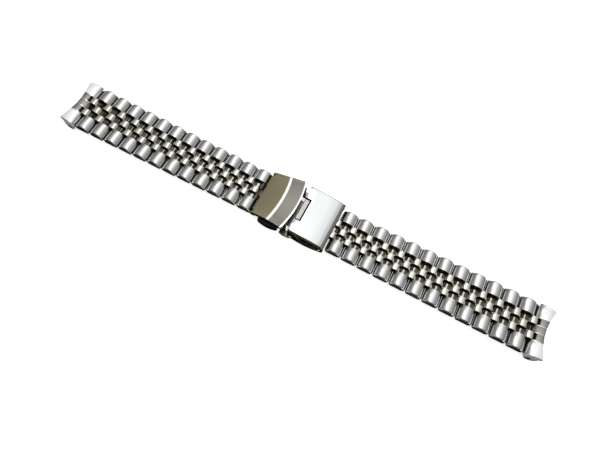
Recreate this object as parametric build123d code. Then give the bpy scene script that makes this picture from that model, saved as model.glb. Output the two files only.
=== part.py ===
from build123d import *
from math import atan2, cos, degrees, hypot, radians, sin, sqrt, tan
import os

# Five column watch bracelet lying flat with its folding clasp closed. X runs along the strap,
# Y across it, Z is up, and the visible face is on top. All lengths are in millimetres.
# Outlines are drawn with the hinge pins at height 0, and each piece is raised when it is saved.

# Strap
pitch = 6.5  # from one wide link to the next
wide_rows = 12  # in each half
end_width = 20.0  # at the watch case
clasp_end_width = 18.0
clasp_reach = 17.0  # from the middle of the clasp to the first pin of a wide link
side_gap = 0.1  # between neighbouring columns
groove = 0.15  # between neighbouring wide links
small_width_share = 0.14  # of the width of the row

# Pins and the flat tunnels in which they lie
pin_radius = 0.42
pin_sides = 8
pin_clearance = 0.05
pin_socket_depth = 1.8

# Wide links
wide_top = 2.2
wide_bottom = 1.3
wide_nose_deg = 5  # above and below the pin
wide_heel_deg = -31
wide_crown_shares = (0.39, 0.7, 1)  # of the angle from the top of the crown to the nose

# Small links
small_top = 1.7
small_bottom = 1.15
small_reach = 1.275  # beyond its pins
small_bottom_reach = 0.825
small_shelf = 0.62  # where the dome begins
small_dome_half = 1.85
small_dome_shares = (0.27, 0.64, 1)  # of the angle from the top of the dome to its foot

# End links
horn_reach = 5.3  # from the pin to the tips beside the watch case
middle_reach = 3.0  # from the pin to the hollow of the curved end
horn_top = 1.3
horn_tip_width = 19.0
horn_crest_x_share = 0.25  # of the reach of the horns
horn_thickness = 1.3
horn_shoulder_deg = 62
wing_x = 2.1  # from the pin
wing_drop = 1.9  # below the pin
wing_radius = 2.3
wing_thickness = 1.4
bar_bore_radius = 1.0
bar_bore_x = 1.6  # from the pin
bar_bore_drop = 2.65  # below the pin
bar_bore_wall = 0.55
rib_groove_width = 0.22
rib_groove_depth = 0.35
notch_clearance = 0.1
notch_overhang = 0.45  # from the pin to the ribs above the notch
link_turn_deg = 10  # the most that a link turns on its neighbour

# Clasp hinges
blade_width = 12.0
blade_thickness = 0.8
knuckle_radius = 1.0
hinge_pin_radius = 0.5
knuckle_gap = 0.1
middle_knuckle_width = 4.0
fold_x = 12.6
fold_z = -3.2
inner_blade_left = -12.2
inner_blade_crest = -2.5
cover_hinge_x = 1.9
cover_hinge_z = -0.7
outer_blade_rise = 0.5

# Cover
cover_width = 20.4
cover_wall = 0.75
cover_left = 0.5
cover_right = 15.1
cover_crest_x = -1.0
cover_crest_z = 4.4
cover_radius = 80.0
cover_edge_chamfer = 0.4
cover_lug_radius = 1.3
cover_wall_depth = 2.7  # below the pins, at mid length
cover_wall_end = 1.45  # below the pins, beside the bar
notch_right = 3.1
notch_width = 9.8
adjust_step = 3.4
adjust_holes = 3
cover_end_flat = 1.3
cover_end_top = 2.4
catch_right = 7.0
catch_width = 12.0
catch_thickness = 0.65
pad_width = 8.6
pad_right = 2.6
pad_margin = 0.2
pad_rise = 0.35
pad_ridges = 4
pad_ridge_height = 0.15

# Flap
flap_hinge_x = -14.2
flap_hinge_z = 1.35
flap_roll_radius = 1.2
flap_bevel_deg = 16
flap_crease_x = -7.6
flap_ridge_width = 1.0
flap_ridge_drop = 0.15
flap_edge_x = -0.5
flap_edge_z = 5.0
flap_edge_bulge = 1.55
flap_crown_radius = 168.0
flap_thickness = 0.7
flap_hinge_width = 19.2
flap_crease_width = 19.8
flap_free_width = 21.4
flap_skirt = 2.0
flap_skirt_thickness = 0.7
flap_notch_right = -13.15

# End piece
end_piece_left = -15.3
end_piece_right = -0.9
end_piece_wall = 0.7
end_piece_wall_outside = 8.75
end_piece_floor_low = -1.2
end_piece_floor_high = -0.35
ear_radius = 0.95
ear_gap = 0.1
plate_gap = 0.25  # under the flap
plate_thickness = 0.7
plate_left = -11.7
wall_depth = 1.4
foot_left = -11.9
foot_right = -3.8
foot_low = -3.3
foot_high = -2.1
catch_lobe_left = -2.9
catch_lobe_right = 2.0
lobe_middle = -1.85
lobe_low = -3.7
lobe_outside = 10.1
foot_lobe_high = 0.6
catch_lobe_high = -2.15  # under the cover
lobe_seat = 0.75  # how far the walls reach into a lobe
foot_plate_left = -11.5
foot_plate_right = -8.6
lug_radius = 1.05
lug_right = -14.85
rivet_x = -10.0
rivet_y = 3.0
rivet_radius = 0.6
press_gap = 0.02

# Cuts run past what they cut by this much
overrun = 1.0

# Sizes that follow from the ones above
pin_half = pitch / 4
link_radius = (pitch / 2 - groove) / 2
end_pin_x = clasp_reach + wide_rows * pitch
bar_x = clasp_reach - pitch / 2
tunnel_half = pin_radius + pin_clearance
pin_height = knuckle_radius - fold_z  # the lowest knuckle touches the table
inner_blade_end_z = fold_z - knuckle_radius + blade_thickness / 2
outer_blade_end_z = fold_z + knuckle_radius - blade_thickness / 2


def row_width(x):
    """Width of the strap at a distance x from the middle of the clasp."""
    taper = (end_width - clasp_end_width) / (end_pin_x - clasp_reach)
    return clasp_end_width + taper * (x - clasp_reach)


def small_width(x):
    return small_width_share * row_width(x)


def around(x, z, radius, degrees):
    """A point on a circle in the XZ plane."""
    return x + radius * cos(radians(degrees)), z + radius * sin(radians(degrees))


def outline(start, *steps):
    """A face in the XZ plane. A step is a point for a line, or a middle and an end for an arc."""
    edges = []
    here = start
    for step in steps + (start,):
        if isinstance(step[0], tuple):
            edges.append(ThreePointArc(here, *step))
            here = step[1]
        elif hypot(step[0] - here[0], step[1] - here[1]) > 0:
            edges.append(Line(here, step))
            here = step
    return Plane.XZ * make_face(edges)


def prism(face, width, y=0):
    """An outline drawn out across the strap, with y at the middle of its width."""
    return Pos(0, y, 0) * extrude(face, amount=width / 2, both=True)


def rod(x, z, radius, width, y=0):
    return Pos(x, y, z) * Rot(90, 0, 0) * Cylinder(radius, width)


def block(left, right, low, high, width, y=0):
    size = (right - left, width, high - low)
    return Pos((left + right) / 2, y, (low + high) / 2) * Box(*size)


def pin_shape(x, z, radius, width):
    """A pin with flats, or the hole in which it is pressed."""
    sides = RegularPolygon(radius, pin_sides, rotation=180 / pin_sides)
    return Pos(x, 0, z) * extrude(Plane.XZ * sides, amount=width / 2, both=True)


def running_hole(x, z, radius, width):
    """A hole with flats that clear the corners of a pin as it turns."""
    return pin_shape(x, z, (radius + pin_clearance) / cos(radians(180 / pin_sides)), width)


def tunnel(x, half_length, width, y=0):
    """The flat hollow of a folded link, as high as its pins."""
    return block(x - half_length, x + half_length, -tunnel_half, tunnel_half, width, y)


def crown(top, foot, shares):
    """Points down the right side of a round top that ends at its foot."""
    fall = top - foot[1]
    radius = (foot[0] ** 2 + fall**2) / (2 * fall)
    spread = degrees(atan2(foot[0], radius - fall))
    return [around(0, top - radius, radius, 90 - spread * share) for share in shares]


def wide_outline():
    """A half barrel between two pins, whose ends stay inside a circle about each pin."""
    nose = around(pin_half, 0, link_radius, wide_nose_deg)
    right = crown(wide_top, nose, wide_crown_shares)
    right.append(around(pin_half, 0, link_radius, -wide_nose_deg))
    right.append(around(pin_half, 0, link_radius, wide_heel_deg))
    right.append((sqrt(link_radius**2 - wide_bottom**2) + pin_half, -wide_bottom))
    left = [(-x, z) for x, z in reversed(right)]
    return outline(left[-1], ((0, wide_top), right[0]), *right[1:], *left[:-1])


def small_outline():
    """A dome on a longer base that covers two pins."""
    base = pin_half + small_reach
    right = crown(small_top, (small_dome_half, small_shelf), small_dome_shares)
    right.append((base, small_shelf))
    right.append((pin_half + small_bottom_reach, -small_bottom))
    left = [(-x, z) for x, z in reversed(right)]
    return outline(left[-1], ((0, small_top), right[0]), *right[1:], *left[:-1])


wide_face = wide_outline()
small_face = small_outline()


def small_link(x, y):
    """One hollow small link in place, in the half on the +X side."""
    width = small_width(x)
    hollow = tunnel(0, pin_half + tunnel_half, width + overrun)
    return Pos(x, y, 0) * (prism(small_face, width) - hollow)


def inner_column_y(x):
    return small_width(x) + side_gap


def wide_inside_y(x):
    """Where the wide links begin, beside the small links."""
    return small_width(x) * 3 / 2 + side_gap * 2


def wide_link(x, side):
    """One wide link in place, with its outer face on the taper of the strap."""
    inside = wide_inside_y(x)
    reach = row_width(x + pitch) / 2 - inside
    link = prism(wide_face, reach, inside + reach / 2)
    slope = (row_width(x + pitch) - row_width(x)) / pitch / 2
    edge = Plane(origin=(0, row_width(x) / 2, 0), z_dir=(-slope, 1, 0))
    link = split(link, bisect_by=edge, keep=Keep.BOTTOM)
    link -= tunnel(0, pin_half + tunnel_half, pin_socket_depth * 2, inside)
    if side < 0:
        link = mirror(link, about=Plane.XZ)
    return Pos(x, 0, 0) * link


def wide_row(x):
    """Two wide links, the small link between them and the two pins that carry all three."""
    pieces = [wide_link(x, 1), wide_link(x, -1), small_link(x, 0)]
    length = (wide_inside_y(x) + pin_socket_depth - pin_clearance) * 2
    for pin_x in (x - pin_half, x + pin_half):
        pieces.append(pin_shape(pin_x, 0, pin_radius, length))
    return pieces


def small_row(x):
    return [small_link(x, inner_column_y(x)), small_link(x, -inner_column_y(x))]


def wing(x):
    """A rounded tab below a horn, at the side of an end link."""
    eye = (x + wing_x, -wing_drop, wing_radius)
    low = [around(*eye, angle) for angle in (180, 210, 240, 270, 300, 330, 360)]
    return outline((low[0][0], 0), *low, (low[-1][0], horn_top - horn_thickness / 2))


def notch(x):
    """Room for the small links beside the middle knuckle, which runs under the ribs."""
    swing = hypot(small_reach, small_shelf) + notch_clearance
    corner = swing * tan(radians(180 / pin_sides))
    left = x - swing - overrun
    high = wide_top + overrun
    turn = radians(link_turn_deg)
    ceiling = small_shelf * cos(turn) + small_reach * sin(turn) + notch_clearance
    return outline(
        (left, high),
        (x + notch_overhang, high),
        (x + notch_overhang, ceiling),
        (x + swing, ceiling),
        (x + swing, -corner),
        (x + corner, -swing),
        (x, -swing),
        (x, -high),
        (left, -high),
    )


def end_link():
    """The fitted end, with three knuckles on the last pin, ribs, wings, and a spring bar's bore."""
    x = end_pin_x
    horn_x = x + horn_reach
    tube = (x + bar_bore_x, -bar_bore_drop, bar_bore_radius + bar_bore_wall)
    crest_x = x + horn_reach * horn_crest_x_share
    shoulder = around(x, 0, link_radius, 180 - horn_shoulder_deg)
    side = outline(
        shoulder,
        ((crest_x, wide_top), (horn_x, horn_top)),
        (horn_x, horn_top - horn_thickness),
        around(*tube, 40),
        around(*tube, -10),
        around(*tube, -60),
        (around(*tube, -90), around(*tube, -120)),
        around(*tube, 165),
        around(x, 0, link_radius, 180 - wide_heel_deg),
        around(x, 0, link_radius, 180 + wide_nose_deg),
        around(x, 0, link_radius, 180 - wide_nose_deg),
    )
    body = prism(side, end_width)
    for y in (end_width / 2, -end_width / 2):
        wing_y = y - wing_thickness / 2 if y > 0 else y + wing_thickness / 2
        body += prism(wing(x), wing_thickness, wing_y)
    depth = horn_reach - middle_reach
    case_radius = ((horn_tip_width / 2) ** 2 + depth**2) / (2 * depth)
    height = (wide_top + bar_bore_drop + bar_bore_radius + overrun) * 2
    body -= Pos(x + middle_reach + case_radius, 0, 0) * Cylinder(case_radius, height)
    plan = make_face(
        Polyline(
            (x - link_radius, end_width / 2),
            (x, end_width / 2),
            (horn_x, horn_tip_width / 2),
            (horn_x, -horn_tip_width / 2),
            (x, -end_width / 2),
            (x - link_radius, -end_width / 2),
            close=True,
        )
    )
    body &= extrude(plan, amount=height / 2, both=True)
    for y in (inner_column_y(x), -inner_column_y(x)):
        body -= prism(notch(x), small_width(x) + side_gap * 2, y)
    fall_x = (crest_x + horn_x) / 2
    high = wide_top + overrun
    rib_groove = outline(
        (shoulder[0], shoulder[1] - rib_groove_depth),
        (crest_x, wide_top - rib_groove_depth),
        (fall_x, (wide_top + horn_top) / 2 - rib_groove_depth / 2),
        (horn_x, horn_top - rib_groove_depth),
        (horn_x, high),
        (shoulder[0], high),
    )
    for share in (-3 / 2, -1 / 2, 1 / 2, 3 / 2):
        body -= prism(rib_groove, rib_groove_width, share * inner_column_y(x))
    body -= pin_shape(x, 0, pin_radius + press_gap, end_pin_length() + press_gap)
    body -= rod(tube[0], tube[1], bar_bore_radius, end_width + overrun)
    return body


def end_pin_length():
    return (wide_inside_y(end_pin_x) + pin_socket_depth) * 2


def cover_top(x, drop=0):
    """Height of the arched top of the cover, or of a surface that lies below it."""
    radius = cover_radius - drop
    return cover_crest_z - cover_radius + sqrt(radius**2 - (x - cover_crest_x) ** 2)


def cover_arc(left, right, drop=0):
    """Left end, middle and right end of an arc along the cover."""
    return [(x, cover_top(x, drop)) for x in (left, (left + right) / 2, right)]


def cover():
    top = cover_arc(cover_left, cover_right - cover_end_flat)
    lug = (cover_hinge_x, cover_hinge_z, cover_lug_radius)
    lug_left = (cover_hinge_x - cover_lug_radius, cover_hinge_z)
    wall_middle = (cover_hinge_x + bar_x) / 2
    corner = (cover_right - bar_x) / 2
    side = outline(
        top[0],
        (top[1], top[2]),
        (cover_right, cover_end_top),
        (cover_right, -cover_wall_end + corner * 2),
        ((cover_right - corner / 2, -cover_wall_end + corner / 2), (bar_x, -cover_wall_end)),
        ((wall_middle, -cover_wall_depth), around(*lug, -60)),
        (around(*lug, -120), lug_left),
    )
    shell = prism(side, cover_width)
    long_edges = shell.edges().filter_by(GeomType.CIRCLE).group_by(Axis.Z)[-1]
    shell = chamfer(long_edges, cover_edge_chamfer)
    under = cover_arc(cover_left - overrun, cover_right + overrun, cover_wall)
    floor = cover_hinge_z - cover_lug_radius - cover_wall_depth
    inside = outline(under[0], (under[1], under[2]), (under[2][0], floor), (under[0][0], floor))
    shell -= prism(inside, cover_width - cover_wall * 2)
    shell -= block(cover_left - overrun, notch_right, 0, cover_crest_z + overrun, notch_width)
    for number in range(adjust_holes):
        hole_x = bar_x - number * adjust_step
        shell -= pin_shape(hole_x, 0, pin_radius + press_gap, cover_width + overrun)
    pin = hinge_pin_radius + press_gap
    return shell - pin_shape(cover_hinge_x, cover_hinge_z, pin, cover_width + overrun)


def cover_catch():
    """A tongue under the top of the cover, whose ridged pad shows in the notch."""
    left = cover_left + pad_margin
    upper = cover_arc(left, catch_right, cover_wall)
    lower = cover_arc(left, catch_right, cover_wall + catch_thickness)
    tongue = outline(upper[0], (upper[1], upper[2]), lower[2], (lower[1], lower[0]))
    catch = prism(tongue, catch_width)
    low = cover_top(pad_right, cover_wall + catch_thickness / 2)
    high = cover_top(pad_right, cover_wall) + pad_rise
    catch += block(left, pad_right, low, high, pad_width)
    step = (pad_right - left) / (pad_ridges * 2 + 1)
    for number in range(pad_ridges):
        start = left + step * (number * 2 + 1)
        ridge = outline(
            (start, high),
            (start + step / 2, high + pad_ridge_height),
            (start + step, high),
            (start + step, high - pad_ridge_height),
            (start, high - pad_ridge_height),
        )
        catch += prism(ridge, pad_width)
    return catch


def blade_arc(left, middle, right, offset):
    """Three points of a curve that lies above or below the middle line of a blade."""
    return [(x, z + offset) for x, z in (left, middle, right)]


def bent_plate(left, middle, right, thickness):
    upper = blade_arc(left, middle, right, thickness / 2)
    lower = blade_arc(left, middle, right, -thickness / 2)
    return outline(upper[0], (upper[1], upper[2]), lower[2], (lower[1], lower[0]))


def inner_blade_face():
    span = fold_x - inner_blade_left
    left = (inner_blade_left, inner_blade_end_z)
    middle = (inner_blade_left + span / 2, inner_blade_crest)
    return bent_plate(left, middle, (fold_x, inner_blade_end_z), blade_thickness)


def knuckle_cut(width, y=0):
    """Room around the fold pin for the knuckles of the other blade."""
    radius = knuckle_radius + knuckle_gap
    low = fold_z - radius - overrun
    high = fold_z + radius + overrun
    return block(fold_x - radius, fold_x + radius, low, high, width, y)


def inner_blade():
    """The long curved blade, with one knuckle in the middle of its right end."""
    blade = prism(inner_blade_face(), blade_width)
    side_width = (blade_width - middle_knuckle_width) / 2 + knuckle_gap + overrun
    side_y = middle_knuckle_width / 2 + side_width / 2 - knuckle_gap
    for y in (side_y, -side_y):
        blade -= knuckle_cut(side_width, y)
    width = middle_knuckle_width - knuckle_gap * 2
    blade += rod(fold_x, fold_z, knuckle_radius, width)
    return blade - pin_shape(fold_x, fold_z, hinge_pin_radius + press_gap, blade_width)


def outer_blade():
    """The short curved blade, with two knuckles on the fold pin and one on the cover's pin."""
    middle_x = (cover_hinge_x + fold_x) / 2
    middle_z = (cover_hinge_z + outer_blade_end_z) / 2 + outer_blade_rise
    left = (cover_hinge_x, cover_hinge_z)
    right = (fold_x, outer_blade_end_z)
    blade = prism(bent_plate(left, (middle_x, middle_z), right, blade_thickness), blade_width)
    blade -= knuckle_cut(middle_knuckle_width)
    side_width = (blade_width - middle_knuckle_width) / 2
    side_y = (blade_width - side_width) / 2
    for y in (side_y, -side_y):
        blade += rod(fold_x, fold_z, knuckle_radius, side_width, y)
    blade += rod(cover_hinge_x, cover_hinge_z, knuckle_radius, blade_width)
    for x, z in ((cover_hinge_x, cover_hinge_z), (fold_x, fold_z)):
        blade -= running_hole(x, z, hinge_pin_radius, blade_width + overrun)
    return blade


def flap_line(x, drop=0):
    """Height of the flap's top at its middle, or of a surface that lies below it."""
    slope = tan(radians(flap_bevel_deg))
    height = (flap_roll_radius - drop) / cos(radians(flap_bevel_deg))
    bevel = flap_hinge_z + height + slope * (x - flap_hinge_x)
    if x <= flap_crease_x:
        return bevel
    crease = flap_hinge_z + flap_roll_radius / cos(radians(flap_bevel_deg))
    crease += slope * (flap_crease_x - flap_hinge_x)
    rise = (flap_edge_z - crease) / (flap_edge_x - flap_crease_x)
    return crease - drop + rise * (x - flap_crease_x)


def flap_crown():
    """The wide cylinder whose top is the crowned upper face of the flap."""
    rise = flap_line(flap_edge_x) - flap_line(flap_crease_x)
    tilt = (flap_edge_x - flap_crease_x, 0, rise)
    across = Plane(origin=(flap_edge_x, 0, flap_edge_z), x_dir=(0, 1, 0), z_dir=tilt)
    length = (flap_edge_x - flap_hinge_x + flap_roll_radius + overrun) * 2
    return across * Pos(0, -flap_crown_radius, 0) * Cylinder(flap_crown_radius, length)


def flap_plan():
    """The flap seen from above, which flares towards its curved free edge."""
    left = flap_hinge_x - flap_roll_radius - overrun
    corner_x = flap_edge_x - flap_edge_bulge
    far = [(left, flap_hinge_width / 2), (flap_hinge_x, flap_hinge_width / 2)]
    far += [(flap_crease_x, flap_crease_width / 2), (corner_x, flap_free_width / 2)]
    near = [(x, -y) for x, y in far]
    sides = [
        Polyline(*near),
        ThreePointArc(near[-1], (flap_edge_x, 0), far[-1]),
        Polyline(*reversed(far)),
        Line(far[0], near[0]),
    ]
    return extrude(make_face(sides), amount=flap_edge_z * 2, both=True)


def flap():
    """A folded plate, with a sloping left part, a crowned right part and skirts at the sides."""
    roll = (flap_hinge_x, flap_hinge_z, flap_roll_radius)
    skirt_left = flap_hinge_x + flap_roll_radius
    edge_z = flap_line(flap_edge_x)
    side = outline(
        around(*roll, 90 + flap_bevel_deg),
        (around(*roll, 180), around(*roll, -90)),
        (skirt_left, flap_line(skirt_left, flap_skirt)),
        (flap_crease_x, flap_line(flap_crease_x, flap_skirt)),
        (flap_edge_x, flap_line(flap_edge_x, flap_skirt)),
        (flap_edge_x, edge_z),
        (flap_crease_x + flap_ridge_width, flap_line(flap_crease_x) - flap_ridge_drop),
        (flap_crease_x, flap_line(flap_crease_x)),
    )
    body = prism(side, flap_free_width) & flap_crown() & flap_plan()
    room_left = skirt_left - flap_thickness / 2
    room_right = flap_edge_x + overrun
    room = outline(
        (room_left, flap_line(room_left, flap_thickness)),
        (flap_crease_x, flap_line(flap_crease_x, flap_thickness)),
        (room_right, flap_line(room_right, flap_thickness)),
        (room_right, -overrun),
        (room_left, -overrun),
    )
    inside = flap_hinge_width - flap_skirt_thickness * 2
    body -= prism(room, inside)
    slot_inside = end_piece_wall_outside - end_piece_wall - ear_gap
    slot_width = inside / 2 - slot_inside
    slot = (flap_hinge_x - flap_roll_radius - overrun, flap_notch_right, -overrun, flap_edge_z)
    for side_sign in (1, -1):
        body -= block(*slot, slot_width, side_sign * (slot_inside + slot_width / 2))
    return body - running_hole(*roll[:2], hinge_pin_radius, inside)


def lobe_outline(left, right, high, turn):
    """A rounded foot of the end piece, which stands out beyond its wall."""
    bottom = ((left + right) / 2, lobe_low)
    return outline((left, high), (right, high), (right, turn), (bottom, (left, turn)))


def wall_outline():
    """Side view of a wall of the end piece, with an ear and a seat for each lobe."""
    ear = (flap_hinge_x, flap_hinge_z, ear_radius)
    low = plate_gap + flap_thickness + wall_depth
    high = plate_gap + flap_thickness
    return outline(
        (end_piece_left, end_piece_floor_low),
        (end_piece_left, end_piece_floor_high),
        around(*ear, 200),
        (around(*ear, 110), around(*ear, 20)),
        (plate_left, flap_line(plate_left, high)),
        (flap_crease_x, flap_line(flap_crease_x, high)),
        (end_piece_right, flap_line(end_piece_right, high)),
        (end_piece_right, catch_lobe_high - lobe_seat),
        (catch_lobe_left + lobe_seat, catch_lobe_high - lobe_seat),
        (catch_lobe_left + lobe_seat, flap_line(catch_lobe_left + lobe_seat, low)),
        (foot_right - lobe_seat, flap_line(foot_right - lobe_seat, low)),
        (foot_right - lobe_seat, lobe_middle),
        (foot_left + lobe_seat, lobe_middle),
        (foot_left + lobe_seat, end_piece_floor_low),
    )


def end_piece():
    """The fixed frame between the strap, the flap and the inner blade."""
    width = end_piece_wall_outside * 2
    wall_y = end_piece_wall_outside - end_piece_wall / 2
    wall = wall_outline()
    body = prism(wall, end_piece_wall, wall_y) + prism(wall, end_piece_wall, -wall_y)
    floor = (end_piece_left, foot_left, end_piece_floor_low, end_piece_floor_high)
    body += block(*floor, width)
    high = plate_gap + flap_thickness
    low = high + plate_thickness
    plate = outline(
        (plate_left, flap_line(plate_left, high)),
        (flap_crease_x, flap_line(flap_crease_x, high)),
        (end_piece_right, flap_line(end_piece_right, high)),
        (end_piece_right, flap_line(end_piece_right, low)),
        (flap_crease_x, flap_line(flap_crease_x, low)),
        (plate_left, flap_line(plate_left, low)),
    )
    body += prism(plate, width)
    body += block(foot_plate_left, foot_plate_right, foot_low, foot_high, width)
    foot_lobe = lobe_outline(foot_left, foot_right, foot_lobe_high, lobe_middle)
    catch_lobe = lobe_outline(catch_lobe_left, catch_lobe_right, catch_lobe_high, catch_lobe_high)
    lobe_width = lobe_outside - end_piece_wall_outside + end_piece_wall
    for y in (lobe_outside - lobe_width / 2, lobe_width / 2 - lobe_outside):
        body += prism(foot_lobe, lobe_width, y) + prism(catch_lobe, lobe_width, y)
    for y in (inner_column_y(clasp_reach), -inner_column_y(clasp_reach)):
        body += prism(lug_outline(), small_width(clasp_reach), y)
    body -= tunnel(-clasp_reach, tunnel_half, small_width(clasp_reach) * 3 + overrun)
    body -= prism(inner_blade_face(), blade_width)
    body -= pin_shape(flap_hinge_x, flap_hinge_z, hinge_pin_radius + press_gap, width + overrun)
    return body - rivets(press_gap)


def lug_outline():
    """Side view of a lug of the end piece, rounded about the first pin of the strap."""
    eye = (-clasp_reach, 0, lug_radius)
    return outline(
        (lug_right, end_piece_floor_high),
        around(*eye, 45),
        (-clasp_reach, lug_radius),
        around(*eye, 128),
        around(*eye, 165),
        (around(*eye, 180), around(*eye, 195)),
        around(*eye, 232),
        (-clasp_reach, -lug_radius),
        (lug_right, -lug_radius),
    )


def rivets(gap=0):
    """Two upright rivets that hold the inner blade to the foot of the end piece."""
    low = inner_blade_end_z - blade_thickness / 2
    shape = extrude(RegularPolygon(rivet_radius + gap, pin_sides), amount=foot_high - low)
    return Pos(rivet_x, rivet_y, low) * shape + Pos(rivet_x, -rivet_y, low) * shape


def save(name, *solids):
    """Raise the solids so that the lowest point of the bracelet is at height 0, and save them."""
    raised = [Pos(0, 0, pin_height) * solid for solid in solids]
    shape = raised[0] if len(raised) == 1 else Compound(children=raised)
    shape.label = name
    export_step(shape, os.path.join("parts", name + ".step"))


def turned(solids):
    """The same pieces in the half on the -X side."""
    return [Rot(0, 0, 180) * solid for solid in solids]


os.makedirs("parts", exist_ok=True)

for row in range(1, wide_rows + 1):
    wide_x = clasp_reach + pin_half + (row - 1) * pitch
    wide_pieces = wide_row(wide_x)
    small_pieces = small_row(wide_x + pitch / 2)
    number = str(row).zfill(2)
    save("right_outer_row_" + number, *wide_pieces)
    save("left_outer_row_" + number, *turned(wide_pieces))
    save("right_inner_row_" + number, *small_pieces)
    save("left_inner_row_" + number, *turned(small_pieces))

end_pieces = [end_link(), pin_shape(end_pin_x, 0, pin_radius, end_pin_length())]
save("right_end_link", *end_pieces)
save("left_end_link", *turned(end_pieces))
save("right_inner_row_00", *small_row(clasp_reach - pin_half))

save("end_piece", end_piece())
save("inner_blade", inner_blade() - rivets(press_gap))
save("blade_rivets", *rivets().solids())
ear_width = end_piece_wall_outside * 2
flap_pin = pin_shape(flap_hinge_x, flap_hinge_z, hinge_pin_radius, ear_width)
fold_pin = pin_shape(fold_x, fold_z, hinge_pin_radius, blade_width)
save("hinge_pins", flap_pin, fold_pin)
save("flap", flap())
save("outer_blade", outer_blade())
save("cover", cover())
save("cover_catch", cover_catch())
cover_pin = pin_shape(cover_hinge_x, cover_hinge_z, hinge_pin_radius, cover_width)
spring_bar = pin_shape(bar_x, 0, pin_radius, cover_width)
save("cover_bars", cover_pin, spring_bar)
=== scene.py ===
import math

import bpy
from mathutils import Matrix, Vector


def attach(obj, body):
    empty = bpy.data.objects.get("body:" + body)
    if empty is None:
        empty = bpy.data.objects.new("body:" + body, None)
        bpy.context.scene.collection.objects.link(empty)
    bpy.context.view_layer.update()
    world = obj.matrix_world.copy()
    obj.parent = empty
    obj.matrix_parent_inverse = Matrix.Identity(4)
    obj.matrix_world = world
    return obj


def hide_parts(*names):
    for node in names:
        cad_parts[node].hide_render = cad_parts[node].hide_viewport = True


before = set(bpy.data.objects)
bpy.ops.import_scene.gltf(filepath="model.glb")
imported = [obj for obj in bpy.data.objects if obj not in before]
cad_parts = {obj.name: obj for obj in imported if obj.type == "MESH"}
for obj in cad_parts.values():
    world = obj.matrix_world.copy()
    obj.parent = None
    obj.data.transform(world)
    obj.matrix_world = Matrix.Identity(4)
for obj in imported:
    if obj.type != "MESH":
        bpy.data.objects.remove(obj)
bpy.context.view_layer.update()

bl_info = {
    "name": "Five Link Watch Bracelet",
    "version": (1, 0, 0),
    "blender": (4, 5, 0),
    "location": "View3D > Sidebar > Bracelet",
    "description": "Builds a watch bracelet with a folding clasp, link by link, over its CAD frame",
    "category": "Add Mesh",
}

# One millimetre, in Blender's metres
MM = 0.001
# Height of the link pins above the table
PIN_Z = 4.2 * MM
HALVES = (("left", -1), ("right", 1))


class LinkSizes(bpy.types.PropertyGroup):
    """Sizes of the wide and the small links."""

    pitch: bpy.props.FloatProperty(
        name="Pitch", description="From one wide link to the next", default=6.5 * MM, unit="LENGTH"
    )
    rows: bpy.props.IntProperty(
        name="Rows", description="Wide rows in each half", default=12, min=1, max=20
    )
    reach: bpy.props.FloatProperty(
        name="Clasp reach",
        description="From the middle of the clasp to the first pin of a wide link",
        default=17 * MM,
        unit="LENGTH",
    )
    end_width: bpy.props.FloatProperty(
        name="End width", description="Width at the watch case", default=20 * MM, unit="LENGTH"
    )
    clasp_width: bpy.props.FloatProperty(
        name="Clasp width", description="Width beside the clasp", default=18 * MM, unit="LENGTH"
    )
    small_share: bpy.props.FloatProperty(
        name="Small link share",
        description="Share of the row's width that a small link takes",
        default=0.14,
        min=0.05,
        max=0.19,
    )
    side_gap: bpy.props.FloatProperty(
        name="Side gap", description="Between neighbouring columns", default=0.1 * MM, unit="LENGTH"
    )
    pin_radius: bpy.props.FloatProperty(
        name="Pin radius", description="Of the link pins", default=0.4 * MM, unit="LENGTH"
    )


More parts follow.
